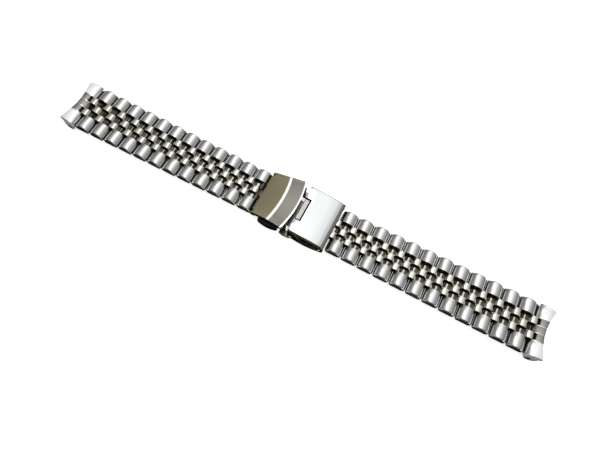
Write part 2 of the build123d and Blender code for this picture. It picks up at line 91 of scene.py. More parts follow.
class FinishColours(bpy.types.PropertyGroup):
    """Colours of the steel, and of the shade and highlights painted on it."""

    brushed: bpy.props.FloatVectorProperty(
        name="Brushed steel",
        description="Colour of the wide links",
        default=(0.62, 0.62, 0.61),
        subtype="COLOR",
        size=3,
    )
    polished: bpy.props.FloatVectorProperty(
        name="Polished steel",
        description="Colour of the small links",
        default=(0.66, 0.64, 0.57),
        subtype="COLOR",
        size=3,
    )
    # Painted shade deep between and under the links: the wide links' lower flanks, the small links'
    # bases and the end links' feet
    recess: bpy.props.FloatVectorProperty(
        name="Recess",
        description="Colour of the metal deep between the links",
        default=(0.05, 0.045, 0.03),
        subtype="COLOR",
        size=3,
    )
    clasp: bpy.props.FloatVectorProperty(
        name="Clasp steel",
        description="Colour of the polished cover",
        default=(0.62, 0.64, 0.63),
        subtype="COLOR",
        size=3,
    )
    bevel: bpy.props.FloatVectorProperty(
        name="Flap bevel",
        description="Colour of the flap's sloping polished part",
        default=(0.48, 0.42, 0.27),
        subtype="COLOR",
        size=3,
    )
    # Painted shade, a little lighter than the shade of the recess, on the rounded ends of the small
    # links' bases
    rim: bpy.props.FloatVectorProperty(
        name="Rims",
        description="Colour of the rounded ends of the small links' bases",
        default=(0.07, 0.065, 0.05),
        subtype="COLOR",
        size=3,
    )
    # The brushed field's own finish, darkened with painted shade
    field: bpy.props.FloatVectorProperty(
        name="Field",
        description="Colour of the brushed field of the flap",
        default=(0.25, 0.24, 0.21),
        subtype="COLOR",
        size=3,
    )
    # The end links' matt ribs; the same colour is painted shade on the sides of their wings and a
    # painted band of shade on the cover's turned down end
    rib: bpy.props.FloatVectorProperty(
        name="Ribs",
        description="Colour of the ribs of the end links and of the cover's turned down end",
        default=(0.27, 0.265, 0.25),
        subtype="COLOR",
        size=3,
    )
    # Painted shade on the sides of the wide links and the walls of the clasp
    shaded: bpy.props.FloatVectorProperty(
        name="Shaded walls",
        description="Colour of the sides of the wide links and the walls of the clasp",
        default=(0.07, 0.07, 0.06),
        subtype="COLOR",
        size=3,
    )
    # Painted highlight on the flap's ridge, its lip and the high front of its free edge
    ridge: bpy.props.FloatVectorProperty(
        name="Flap ridge",
        description="Colour of the bright ridge and free edge of the flap",
        default=(0.95, 0.90, 0.85),
        subtype="COLOR",
        size=3,
    )
    # Painted highlight on the up-facing ends of the end links' wings
    horn: bpy.props.FloatVectorProperty(
        name="Horns",
        description="Colour of the bright ends of the end links' wings",
        default=(0.9, 0.93, 0.93),
        subtype="COLOR",
        size=3,
    )
    catch: bpy.props.FloatVectorProperty(
        name="Catch",
        description="Colour of the catch and the bars of the cover",
        default=(0.6, 0.6, 0.58),
        subtype="COLOR",
        size=3,
    )
    blade: bpy.props.FloatVectorProperty(
        name="Blades",
        description="Colour of the blades, rivets and pins of the clasp",
        default=(0.42, 0.40, 0.35),
        subtype="COLOR",
        size=3,
    )
    # Painted shade on the frame's lobes below the flap
    lobe: bpy.props.FloatVectorProperty(
        name="Lobes",
        description="Colour of the frame's lobes below the flap",
        default=(0.20, 0.18, 0.14),
        subtype="COLOR",
        size=3,
    )
    pin: bpy.props.FloatVectorProperty(
        name="Link pins",
        description="Colour of the link pins",
        default=(0.5, 0.49, 0.46),
        subtype="COLOR",
        size=3,
    )


class StageSettings(bpy.types.PropertyGroup):
    """The floor, the lamps and the camera."""

    floor_colour: bpy.props.FloatVectorProperty(
        name="Floor", description="Colour of the floor", default=(1, 1, 1), subtype="COLOR", size=3
    )
    floor_glow: bpy.props.FloatProperty(
        name="Floor glow", description="White that the floor shows by itself", default=0.6, min=0
    )
    lamp_power: bpy.props.FloatProperty(
        name="Lamp power", description="Of the soft box overhead", default=0.6, min=0
    )
    room_power: bpy.props.FloatProperty(
        name="Room power", description="Brightness of the light strip overhead", default=1.5, min=0
    )
    focal_length: bpy.props.FloatProperty(
        name="Focal length", description="In millimetres", default=29.82, min=1
    )


# Modelling helpers


def leave_edit_mode():
    """Go back to object mode."""
    if bpy.context.mode != "OBJECT":
        bpy.ops.object.mode_set(mode="OBJECT")


def select_only(*objects):
    """Select these objects alone and make the first one active."""
    leave_edit_mode()
    bpy.ops.object.select_all(action="DESELECT")
    for obj in objects:
        obj.select_set(True)
    bpy.context.view_layer.objects.active = objects[0]


def edit(obj, mode="FACE"):
    """Open an object for editing with nothing selected in it."""
    select_only(obj)
    bpy.ops.object.mode_set(mode="EDIT")
    bpy.ops.mesh.select_mode(type=mode)
    bpy.ops.mesh.select_all(action="DESELECT")


def pick(obj, kind, test):
    """Select the vertices, edges or faces of a mesh in edit mode that pass a test."""
    bpy.ops.mesh.select_all(action="DESELECT")
    bpy.ops.object.mode_set(mode="OBJECT")
    for part in getattr(obj.data, kind):
        part.select = bool(test(part))
    bpy.ops.object.mode_set(mode="EDIT")


def around(x, z, radius, degrees):
    """A point on a circle in the XZ plane."""
    turn = math.radians(degrees)
    return x + radius * math.cos(turn), z + radius * math.sin(turn)


def sweep(x, z, radius, start, end, steps):
    """Points along an arc in the XZ plane."""
    return [around(x, z, radius, start + (end - start) * i / steps) for i in range(steps + 1)]


def circle(x, z, radius, points):
    """The corners of a regular outline in the XZ plane."""
    return sweep(x, z, radius, 0, 360 - 360 / points, points - 1)


def arc_through(first, middle, last, steps):
    """Points along the arc through three points in the XZ plane."""
    (ax, az), (bx, bz), (cx, cz) = first, middle, last
    d = 2 * (ax * (bz - cz) + bx * (cz - az) + cx * (az - bz))
    a2, b2, c2 = ax**2 + az**2, bx**2 + bz**2, cx**2 + cz**2
    ox = (a2 * (bz - cz) + b2 * (cz - az) + c2 * (az - bz)) / d
    oz = (a2 * (cx - bx) + b2 * (ax - cx) + c2 * (bx - ax)) / d
    radius = math.hypot(ax - ox, az - oz)
    start, mid, end = (math.atan2(z - oz, x - ox) for x, z in (first, middle, last))
    turn = 2 * math.pi
    while mid - start > math.pi:
        mid -= turn
    while mid - start < -math.pi:
        mid += turn
    while end - mid > math.pi:
        end -= turn
    while end - mid < -math.pi:
        end += turn
    angles = [start + (end - start) * i / steps for i in range(steps + 1)]
    return [(ox + radius * math.cos(a), oz + radius * math.sin(a)) for a in angles]


def draw_outline(name, points):
    """Draw a closed outline in the XZ plane, point by point, and fill it with a face."""
    leave_edit_mode()
    bpy.ops.object.select_all(action="DESELECT")
    bpy.ops.mesh.primitive_plane_add(size=1 * MM, location=(0, 0, 0))
    obj = bpy.context.object
    obj.name = name
    bpy.ops.object.mode_set(mode="EDIT")
    bpy.ops.mesh.select_mode(type="VERT")
    bpy.ops.mesh.select_all(action="SELECT")
    bpy.ops.mesh.merge(type="CENTER")
    x, z = points[0]
    bpy.ops.transform.translate(value=(x * MM, 0, z * MM))
    for next_x, next_z in points[1:]:
        step = ((next_x - x) * MM, 0, (next_z - z) * MM)
        bpy.ops.mesh.extrude_vertices_move(TRANSFORM_OT_translate={"value": step})
        x, z = next_x, next_z
    bpy.ops.mesh.select_all(action="SELECT")
    bpy.ops.mesh.edge_face_add()
    return obj


def prism(name, points, width, y=0):
    """A solid with this outline, as wide as told, with y at its middle."""
    obj = draw_outline(name, points)
    bpy.ops.mesh.select_all(action="SELECT")
    bpy.ops.transform.translate(value=(0, (y - width / 2) * MM, 0))
    move = {"value": (0, width * MM, 0)}
    bpy.ops.mesh.extrude_region_move(TRANSFORM_OT_translate=move)
    bpy.ops.mesh.select_all(action="SELECT")
    bpy.ops.mesh.normals_make_consistent(inside=False)
    bpy.ops.object.mode_set(mode="OBJECT")
    return obj


def slab(name, left, right, low, high, width, y):
    """A straight block between these limits in X and Z, with y at its middle."""
    points = [(left, low), (right, low), (right, high), (left, high)]
    return prism(name, points, width, y)


def round_edges(obj, width, segments, limit):
    """Round the edges of a solid that are sharper than a limit in degrees."""
    select_only(obj)
    bevel = obj.modifiers.new("Rounded edges", "BEVEL")
    bevel.width = width * MM
    bevel.segments = segments
    bevel.limit_method = "ANGLE"
    bevel.angle_limit = math.radians(limit)
    bevel.use_clamp_overlap = True
    bpy.ops.object.modifier_apply(modifier=bevel.name)


def smooth(obj, angle):
    """Shade a piece smooth, apart from its edges sharper than this angle in degrees."""
    select_only(obj)
    bpy.ops.object.shade_smooth_by_angle(angle=math.radians(angle))


def remove(obj):
    """Take an object that is no longer needed out of the scene."""
    bpy.data.objects.remove(obj, do_unlink=True)


def cut(obj, cutter):
    """Cut one solid with another, which is then removed."""
    select_only(obj)
    change = obj.modifiers.new("Cut", "BOOLEAN")
    change.operation = "DIFFERENCE"
    change.object = cutter
    change.solver = "EXACT"
    bpy.ops.object.modifier_apply(modifier=change.name)
    remove(cutter)


def from_frame(node, name):
    """A copy of a CAD node with its loose triangles merged into clean faces."""
    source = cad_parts[node]
    obj = source.copy()
    obj.data = source.data.copy()
    obj.name = name
    obj.data.name = name
    obj.parent = None
    obj.hide_render = False
    obj.hide_viewport = False
    bpy.context.scene.collection.objects.link(obj)
    obj.matrix_world = Matrix.Identity(4)
    obj.data.materials.clear()
    edit(obj, "VERT")
    bpy.ops.mesh.select_all(action="SELECT")
    bpy.ops.mesh.remove_doubles(threshold=0.002 * MM)
    bpy.ops.mesh.select_mode(type="EDGE")
    bpy.ops.mesh.select_all(action="SELECT")
    bpy.ops.mesh.dissolve_limited(angle_limit=math.radians(1))
    bpy.ops.object.mode_set(mode="OBJECT")
    return obj


def placed_copy(master, name, x, y, stretch=1.0, turned=False):
    """A copy of a link with its own mesh, at its place in the row frame."""
    obj = master.copy()
    obj.data = master.data.copy()
    obj.name = name
    obj.data.name = name
    bpy.context.scene.collection.objects.link(obj)
    obj.location = (x, y, PIN_Z)
    obj.scale = (1, stretch, 1)
    obj.rotation_euler = (0, 0, math.pi if turned else 0)
    select_only(obj)
    bpy.ops.object.transform_apply(location=True, rotation=True, scale=True)
    return obj


def settle(obj):
    """Lift a piece drawn about the height of the pins to its place, and apply that."""
    select_only(obj)
    bpy.ops.transform.translate(value=(0, 0, PIN_Z))
    bpy.ops.object.transform_apply(location=True, rotation=True, scale=True)


def paint(obj, materials, choose=None, level=0):
    """Give a piece its materials. The choice gives a face its place in their list from its middle
    in millimetres, with z counted from this level, and from its normal."""
    obj.data.materials.clear()
    for material in materials:
        obj.data.materials.append(material)
    if choose:
        for face in obj.data.polygons:
            x, y, z = face.center / MM
            face.material_index = choose(x, y, z - level, face.normal)


def dress(obj, material, body, nodes):
    """Give a piece its material, if it isn't painted yet, and its body, and hide the CAD nodes that it
    stands for."""
    if material:
        paint(obj, [material])
    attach(obj, body)
    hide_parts(*nodes)


def row_width(sizes, x):
    """Width of the tapering strap at a distance from the middle of the clasp."""
    taper = (sizes.end_width - sizes.clasp_width) / (sizes.pitch * sizes.rows)
    return sizes.clasp_width + taper * (x - sizes.reach)


# Materials


# Steel is a little brighter where it is seen at a grazing angle
EDGE_TINT = 1.2
MIN_ROUGHNESS = 0.02
# Noise cells to the metre along X, Y and Z. Brush marks are long where there are few.
BRUSH_ACROSS = (9000, 300, 4000)
BRUSH_RIBS = (6000, 300, 4000)
BRUSH_FIELD = (9000, 250, 4000)
BRUSH_ALONG = (200, 5000, 5000)


def new_material(name):
    """A fresh material with its node tree and its shader."""
    material = bpy.data.materials.get(name)
    if material:
        bpy.data.materials.remove(material)
    material = bpy.data.materials.new(name)
    material.use_nodes = True
    tree = material.node_tree
    tree.nodes.clear()
    output = tree.nodes.new("ShaderNodeOutputMaterial")
    shader = tree.nodes.new("ShaderNodeBsdfPrincipled")
    tree.links.new(shader.outputs["BSDF"], output.inputs["Surface"])
    return material, tree, shader


def maths(tree, operation, first, second=None, third=None):
    """One calculation with up to three numbers or sockets."""
    node = tree.nodes.new("ShaderNodeMath")
    node.operation = operation
    for socket, value in zip(node.inputs, (first, second, third)):
        if value is None:
            continue
        if isinstance(value, (int, float)):
            socket.default_value = value
        else:
            tree.links.new(value, socket)
    return node.outputs[0]


def object_position(tree):
    """The place on the surface in the shared frame."""
    return tree.nodes.new("ShaderNodeTexCoord").outputs["Object"]


def height_of(tree, position):
    """The height above the table that a position holds."""
    split = tree.nodes.new("ShaderNodeSeparateXYZ")
    tree.links.new(position, split.inputs[0])
    return split.outputs["Z"]


def ramp(tree, value, stops):
    """A colour ramp. A stop is a place and a colour."""
    node = tree.nodes.new("ShaderNodeValToRGB")
    elements = node.color_ramp.elements
    while len(elements) > 1:
        elements.remove(elements[-1])
    elements[0].position = stops[0][0]
    elements[0].color = (*stops[0][1], 1)
    for place, colour in stops[1:]:
        element = elements.new(place)
        element.color = (*colour, 1)
    tree.links.new(value, node.inputs[0])
    return node.outputs[0]


def streaks(tree, position, scale):
    """Fine brush marks, long in the direction in which the scale is small."""
    mapping = tree.nodes.new("ShaderNodeMapping")
    tree.links.new(position, mapping.inputs["Vector"])
    mapping.inputs["Scale"].default_value = scale
    noise = tree.nodes.new("ShaderNodeTexNoise")
    noise.inputs["Scale"].default_value = 1.0
    noise.inputs["Detail"].default_value = 3.0
    tree.links.new(mapping.outputs[0], noise.inputs["Vector"])
    return noise.outputs["Fac"]


def spread(tree, value, low, high):
    """Stretch a value from 0..1 to low..high."""
    node = tree.nodes.new("ShaderNodeMapRange")
    node.inputs["To Min"].default_value = low
    node.inputs["To Max"].default_value = high
    tree.links.new(value, node.inputs["Value"])
    return node.outputs["Result"]


def steel(name, colour, roughness, brush=None, brush_depth=0.1, recess=None):
    """Steel, with brush marks if it has any, and painted shade low between the links, where the light
    hardly reaches, if a colour is told for that."""
    material, tree, shader = new_material(name)
    shader.inputs["Metallic"].default_value = 1.0
    edge = [min(1, level * EDGE_TINT) for level in colour]
    shader.inputs["Specular Tint"].default_value = (*edge, 1)
    if brush:
        marks = streaks(tree, object_position(tree), brush)
        low = max(MIN_ROUGHNESS, roughness - brush_depth)
        tree.links.new(spread(tree, marks, low, roughness + brush_depth), shader.inputs["Roughness"])
        bump = tree.nodes.new("ShaderNodeBump")
        bump.inputs["Strength"].default_value = 0.12
        bump.inputs["Distance"].default_value = 0.02 * MM
        tree.links.new(marks, bump.inputs["Height"])
        tree.links.new(bump.outputs[0], shader.inputs["Normal"])
    else:
        shader.inputs["Roughness"].default_value = roughness
    if recess is None:
        shader.inputs["Base Color"].default_value = (*colour, 1)
        return material
    # Painted shade: the base colour darkens towards the shade colour low on the piece
    depth = tree.nodes.new("ShaderNodeMapRange")
    depth.inputs["From Min"].default_value = PIN_Z + PAINTED_SHADE_LOW * MM
    depth.inputs["From Max"].default_value = PIN_Z + PAINTED_SHADE_TOP * MM
    tree.links.new(height_of(tree, object_position(tree)), depth.inputs["Value"])
    shade = ramp(tree, depth.outputs["Result"], [(0.0, recess), (1.0, colour)])
    tree.links.new(shade, shader.inputs["Base Color"])
    return material


# Links, in millimetres about the middle of the link at the height of its pins

# From the middle of a link to its pins
PIN_HALF = 1.625
LINK_RADIUS = 1.55
WIDE_TOP = 2.2
WIDE_BOTTOM = -1.3
WIDE_NOSE_DEG = 5
WIDE_HEEL_DEG = -50
SMALL_TOP = 1.7
SMALL_FLAT = (0.92, 1.58)
SMALL_SHOULDER = (1.2, 1.42)
SMALL_BOTTOM = -1.15
SMALL_SHELF = 0.62
SMALL_BASE_HALF = 3.0
SMALL_SOLE_HALF = 2.45
SMALL_DOME_HALF = 1.85
# The outer end of a wide link is rounded this much, and drawn in towards this level
LINK_END_ROUND = 0.8
LINK_END_LEVEL = -0.4
LINK_END_STEPS = 6
# Widths of the masters, which are stretched to each row's own width
WIDE_MASTER = 5.4
SMALL_MASTER = 2.65
SMALL_COLUMNS = 3
PIN_LENGTH = 11.0
# Heights between which the wide links darken to the painted shade deep between the links
PAINTED_SHADE_TOP = 1.2
PAINTED_SHADE_LOW = 0.3
# A face is a side, which takes painted shade, where its normal leans this much across the strap
LINK_SIDE = 0.75
WIDE_FOOT = -0.9
SMALL_DOME_FOOT = SMALL_SHELF + 0.12
# Where the rounded ends of the bases start and how far up they face, for their lighter painted shade
SMALL_RIM_START = SMALL_BASE_HALF - 0.17
SMALL_RIM_RISE = 0.2


def wide_outline():
    """A half barrel over two pins, whose ends run round them."""
    nose = around(PIN_HALF, 0, LINK_RADIUS, WIDE_NOSE_DEG)
    sole = PIN_HALF + math.sqrt(LINK_RADIUS**2 - WIDE_BOTTOM**2)
    crown = arc_through((-nose[0], nose[1]), (0, WIDE_TOP), nose, steps=26)
    right = sweep(PIN_HALF, 0, LINK_RADIUS, WIDE_NOSE_DEG, WIDE_HEEL_DEG, steps=6)[1:]
    right.append((sole, WIDE_BOTTOM))
    return crown + right + [(-x, z) for x, z in reversed(right)]


def wide_master():
    """A wide link with its outer end, towards +Y, rounded in steps that each draw it in."""
    half = WIDE_MASTER / 2
    obj = draw_outline("Wide link", wide_outline())
    bpy.ops.mesh.select_all(action="SELECT")
    bpy.ops.transform.translate(value=(0, -half * MM, 0))
    straight = {"value": (0, (WIDE_MASTER - LINK_END_ROUND) * MM, 0)}
    bpy.ops.mesh.extrude_region_move(TRANSFORM_OT_translate=straight)
    y, size = half - LINK_END_ROUND, 1.0
    for step in range(1, LINK_END_STEPS + 1):
        turn = math.radians(90 * step / LINK_END_STEPS)
        next_y = half - LINK_END_ROUND * (1 - math.sin(turn))
        next_size = 1 - LINK_END_ROUND * (1 - math.cos(turn)) / (WIDE_TOP - LINK_END_LEVEL)
        move = {"value": (0, (next_y - y) * MM, 0)}
        bpy.ops.mesh.extrude_region_move(TRANSFORM_OT_translate=move)
        bpy.ops.transform.resize(
            value=((1 + next_size) / (1 + size), 1, next_size / size),
            center_override=(0, next_y * MM, LINK_END_LEVEL * MM),
            orient_type="GLOBAL",
        )
        y, size = next_y, next_size
    bpy.ops.mesh.select_all(action="SELECT")
    bpy.ops.mesh.normals_make_consistent(inside=False)
    bpy.ops.object.mode_set(mode="OBJECT")
    return obj


def small_outline():
    """A domed bead on a longer base over two pins."""
    left_flat = (-SMALL_FLAT[0], SMALL_FLAT[1])
    dome = arc_through(left_flat, (0, SMALL_TOP), SMALL_FLAT, steps=8)
    right = [SMALL_SHOULDER, (SMALL_DOME_HALF, SMALL_SHELF)]
    right += [(SMALL_BASE_HALF, SMALL_SHELF), (SMALL_SOLE_HALF, SMALL_BOTTOM)]
    return dome + right + [(-x, z) for x, z in reversed(right)]


class BRACELET_OT_wide_links(bpy.types.Operator):
    """Build the brushed outer links of both halves"""

    bl_idname = "bracelet.wide_links"
    bl_label = "Wide links"

    def execute(self, context):
        sizes = context.scene.bracelet_sizes
        colours = context.scene.bracelet_colours
        brushed = steel(
            "Brushed steel",
            colours.brushed,
            roughness=0.2,
            brush=BRUSH_ACROSS,
            brush_depth=0.07,
            recess=colours.recess,
        )
        shaded = steel("Link side steel", colours.shaded, roughness=0.3)
        master = wide_master()
        round_edges(master, 0.12, segments=2, limit=60)
        smooth(master, angle=40)

        # The sides and feet of the wide links take the painted shade
        def part(x, y, z, normal):
            return 1 if abs(normal.y) > LINK_SIDE or z < WIDE_FOOT else 0

        paint(master, [brushed, shaded], part)
        for side, sign in HALVES:
            for row in range(1, sizes.rows + 1):
                x = sizes.reach + PIN_HALF * MM + (row - 1) * sizes.pitch
                width = row_width(sizes, x)
                small = width * sizes.small_share
                inside = small * SMALL_COLUMNS / 2 + sizes.side_gap * (SMALL_COLUMNS - 1)
                reach = width / 2 - inside
                body = f"{side}_outer_row_{row:02d}"
                for edge, y_sign in (("near", -1), ("far", 1)):
                    y = y_sign * (inside + reach / 2)
                    stretch = reach / (WIDE_MASTER * MM)
                    name = f"{side}_{edge}_link_{row:02d}"
                    link = placed_copy(master, name, sign * x, y, stretch, turned=y_sign < 0)
                    dress(link, None, body, [body])
        remove(master)
        return {"FINISHED"}


class BRACELET_OT_small_links(bpy.types.Operator):
    """Build the polished small links of both halves"""

    bl_idname = "bracelet.small_links"
    bl_label = "Small links"

    def execute(self, context):
        sizes = context.scene.bracelet_sizes
        colours = context.scene.bracelet_colours
        polished = steel("Polished steel", colours.polished, roughness=0.14)
        shaded = steel("Shaded base steel", colours.recess, roughness=0.3)
        rim = steel("Base rim steel", colours.rim, roughness=0.25)
        master = prism("Small link", small_outline(), SMALL_MASTER)
        round_edges(master, 0.16, segments=2, limit=30)
        smooth(master, angle=50)

        # The sides of the domes and the bases take painted shade, and the bases' rounded ends a
        # lighter painted shade
        def part(x, y, z, normal):
            if z > SMALL_DOME_FOOT:
                return 1 if abs(normal.y) > LINK_SIDE else 0
            return 2 if abs(x) > SMALL_RIM_START and normal.z > SMALL_RIM_RISE else 1

        paint(master, [polished, shaded, rim], part)
        for side, sign in HALVES:
            first = 0 if side == "right" else 1
            for row in range(first, sizes.rows + 1):
                centre_x = sizes.reach + PIN_HALF * MM + (row - 1) * sizes.pitch
                inner_x = centre_x + sizes.pitch / 2
                places = []
                if row > 0:
                    width = row_width(sizes, centre_x) * sizes.small_share
                    body = f"{side}_outer_row_{row:02d}"
                    places.append((f"{side}_centre_link_{row:02d}", centre_x, 0, width, body))
                width = row_width(sizes, inner_x) * sizes.small_share
                body = f"{side}_inner_row_{row:02d}"
                for edge, y_sign in (("near", -1), ("far", 1)):
                    y = y_sign * (width + sizes.side_gap)
                    places.append((f"{side}_{edge}_small_link_{row:02d}", inner_x, y, width, body))
                for name, x, y, width, body in places:
                    link = placed_copy(master, name, sign * x, y, width / (SMALL_MASTER * MM))
                    dress(link, None, body, [body])
        remove(master)
        return {"FINISHED"}


class BRACELET_OT_link_pins(bpy.types.Operator):
    """Build the pins of the wide rows"""

    bl_idname = "bracelet.link_pins"
    bl_label = "Link pins"

    def execute(self, context):
        sizes = context.scene.bracelet_sizes
        colours = context.scene.bracelet_colours
        metal = steel("Turned steel", colours.pin, roughness=0.3)
        leave_edit_mode()
        bpy.ops.object.select_all(action="DESELECT")
        bpy.ops.mesh.primitive_cylinder_add(
            vertices=12,
            radius=sizes.pin_radius,
            depth=PIN_LENGTH * MM,
            rotation=(math.pi / 2, 0, 0),
        )
        master = context.object
        select_only(master)
        bpy.ops.object.transform_apply(location=True, rotation=True, scale=True)
        round_edges(master, 0.1, segments=1, limit=60)
        smooth(master, angle=40)
        for side, sign in HALVES:
            for row in range(1, sizes.rows + 1):
                x = sizes.reach + (row - 1) * sizes.pitch
                body = f"{side}_outer_row_{row:02d}"
                for end, shift in (("a", 0), ("b", sizes.pitch / 2)):
                    name = f"{side}_link_pin_{row:02d}{end}"
                    pin = placed_copy(master, name, sign * (x + shift), 0)
                    dress(pin, metal, body, [body])
        remove(master)
        return {"FINISHED"}


# End links, in millimetres from the middle of the clasp at the height of the link pins

END_PIN_X = 95.0
# Where the top line leaves the groove, in degrees around the pin
CREST_START_DEG = 118
HORN_TOP = 1.3
HORN_REACH = 5.3
CREST_SHARE = 0.25
CREST_X = END_PIN_X + HORN_REACH * CREST_SHARE
HOLLOW_REACH = 3.0
HOLLOW_RADIUS = 20.77
COLUMN_STEP = 2.9
RAIL_HALF_WIDTH = 0.1
RAIL_RISE = 0.05
RAIL_DEPTH = 0.6
RAIL_SHORTER = 0.1
RAIL_PLACES = (-1.5, -0.5, 0.5, 1.5)
# Limits of the faces of the wings: their sides and feet, which take painted shade, and the horns,
# which take a painted highlight
WING_SIDE = 0.7
WING_FOOT = 0.2
HORN_RISE = 0.5


def end_crest(rise):
    """The top line of an end link from its groove to its horns, raised by so much."""
    start = around(END_PIN_X, 0, LINK_RADIUS, CREST_START_DEG)
    end = (END_PIN_X + HORN_REACH, HORN_TOP)
    points = arc_through(start, (CREST_X, WIDE_TOP), end, steps=24)
    return [(x, z + rise) for x, z in points]


class BRACELET_OT_end_links(bpy.types.Operator):
    """Build the curved end links with the bright rails between their ribs"""

    bl_idname = "bracelet.end_links"
    bl_label = "End links"

    def execute(self, context):
        colours = context.scene.bracelet_colours
        brushed = steel(
            "Brushed end steel", colours.brushed, roughness=0.2, brush=BRUSH_ACROSS, brush_depth=0.07
        )
        ribbed = steel("Rib steel", colours.rib, roughness=0.42, brush=BRUSH_RIBS)
        shaded = steel("End recess steel", colours.recess, roughness=0.3)
        bright = steel("Rail steel", colours.polished, roughness=0.12)
        # Painted highlight on the horns: a near-white colour on steel made less metallic
        horn, _, shader = new_material("Horn steel")
        shader.inputs["Base Color"].default_value = (*colours.horn, 1)
        shader.inputs["Metallic"].default_value = 0.3
        shader.inputs["Roughness"].default_value = 0.4

        # The sides of the wings take the ribs' colour as painted shade, the feet the painted shade of
        # the recess, and the up-facing horns the painted highlight
        def part(x, y, z, normal):
            if abs(normal.y) > WING_SIDE:
                return 1
            if z < WING_FOOT:
                return 2
            if abs(y) < COLUMN_STEP * SMALL_COLUMNS / 2:
                return 1
            return 3 if abs(x) > CREST_X and normal.z > HORN_RISE else 0

        for side, sign in HALVES:
            node = f"{side}_end_link"
            link = from_frame(node, f"{side}_end_piece")
            round_edges(link, 0.12, segments=2, limit=50)
            smooth(link, angle=35)
            paint(link, [brushed, ribbed, shaded, horn], part, level=PIN_Z / MM)
            dress(link, None, node, [node])
            for number, share in enumerate(RAIL_PLACES, 1):
                y = share * COLUMN_STEP
                hollow = HOLLOW_REACH + HOLLOW_RADIUS - math.sqrt(HOLLOW_RADIUS**2 - y**2)
                top = [p for p in end_crest(RAIL_RISE) if p[0] < END_PIN_X + hollow - RAIL_SHORTER]
                low = [(x, z - RAIL_DEPTH) for x, z in reversed(top)]
                points = [(sign * x, z) for x, z in top + low]
                rail = prism(f"{side}_rail_{number}", points, RAIL_HALF_WIDTH * 2, y)
                settle(rail)
                smooth(rail, angle=40)
                dress(rail, bright, node, [node])
        return {"FINISHED"}


# Flap, in millimetres from the middle of the clasp at the height of the link pins

FLAP_HINGE = (-14.2, 1.35)
FLAP_ROLL = 1.2
FLAP_BEVEL_DEG = 16
FLAP_EDGE = (-2.05, 5.0)
FLAP_EDGE_BULGE = 1.55
FLAP_CREASE_X = -8.5
FLAP_CREASE_BULGE = 1.25
FLAP_RIDGE = 0.9
FLAP_LIP = 0.5
FLAP_LIP_DROP = 0.05
FLAP_RIDGE_DROP = 0.2
FLAP_SKIRT = 2.0
FLAP_THICKNESS = 0.7
FLAP_HINGE_HALF = 9.6
FLAP_CREASE_HALF = 9.9
FLAP_FREE_HALF = 10.7
FLAP_INSIDE_HALF = 8.9
FLAP_CROWN_RADIUS = 168.0
FLAP_STRIPS = 18
# Vertices this near to a point of the outline are at that point
FLAP_SNAP = 0.02
# The widths of the hinge and of the crease reach this far past the skirt and short of the edge
FLAP_SKIRT_PAST = 0.1
FLAP_EDGE_SHORT = 2.5
# Rooms inside the flap for the frame's ears with their necks and for the pin
EAR_ROOM = 1.02
EAR_INSIDE = 7.95
NECK_ROOM_RIGHT = 0.15
NECK_ROOM_LEFT = 0.2
NECK_ROOM_LOW = 0.1
PIN_ROOM = 0.56
BELOW_FLAP = -1
ABOVE_FLAP = 5
PAST_FLAP = 1
# Limits of the faces of the flap, for its painted highlight and shade
FLAP_WALL_RISE = 0.55
FLAP_WALL_TOP = 3.4
FLAP_SIDE = 0.7
RIDGE_BEFORE = 0.02
RIDGE_AFTER = 0.05


def flap_bevel(x, drop=0):
    """Height of the flap's sloping part at x, or of a surface that lies below it."""
    turn = math.radians(FLAP_BEVEL_DEG)
    return FLAP_HINGE[1] + (FLAP_ROLL - drop) / math.cos(turn) + math.tan(turn) * (x - FLAP_HINGE[0])


def crease_x(share):
    """Where the ridge of the flap runs, at a share of the flap's half width."""
    return FLAP_CREASE_X + FLAP_CREASE_BULGE * (1 - share**2)


def edge_bulge(share):
    """How far the free edge bulges, at a share of the flap's half width."""
    return FLAP_EDGE_BULGE * (1 - share**2)


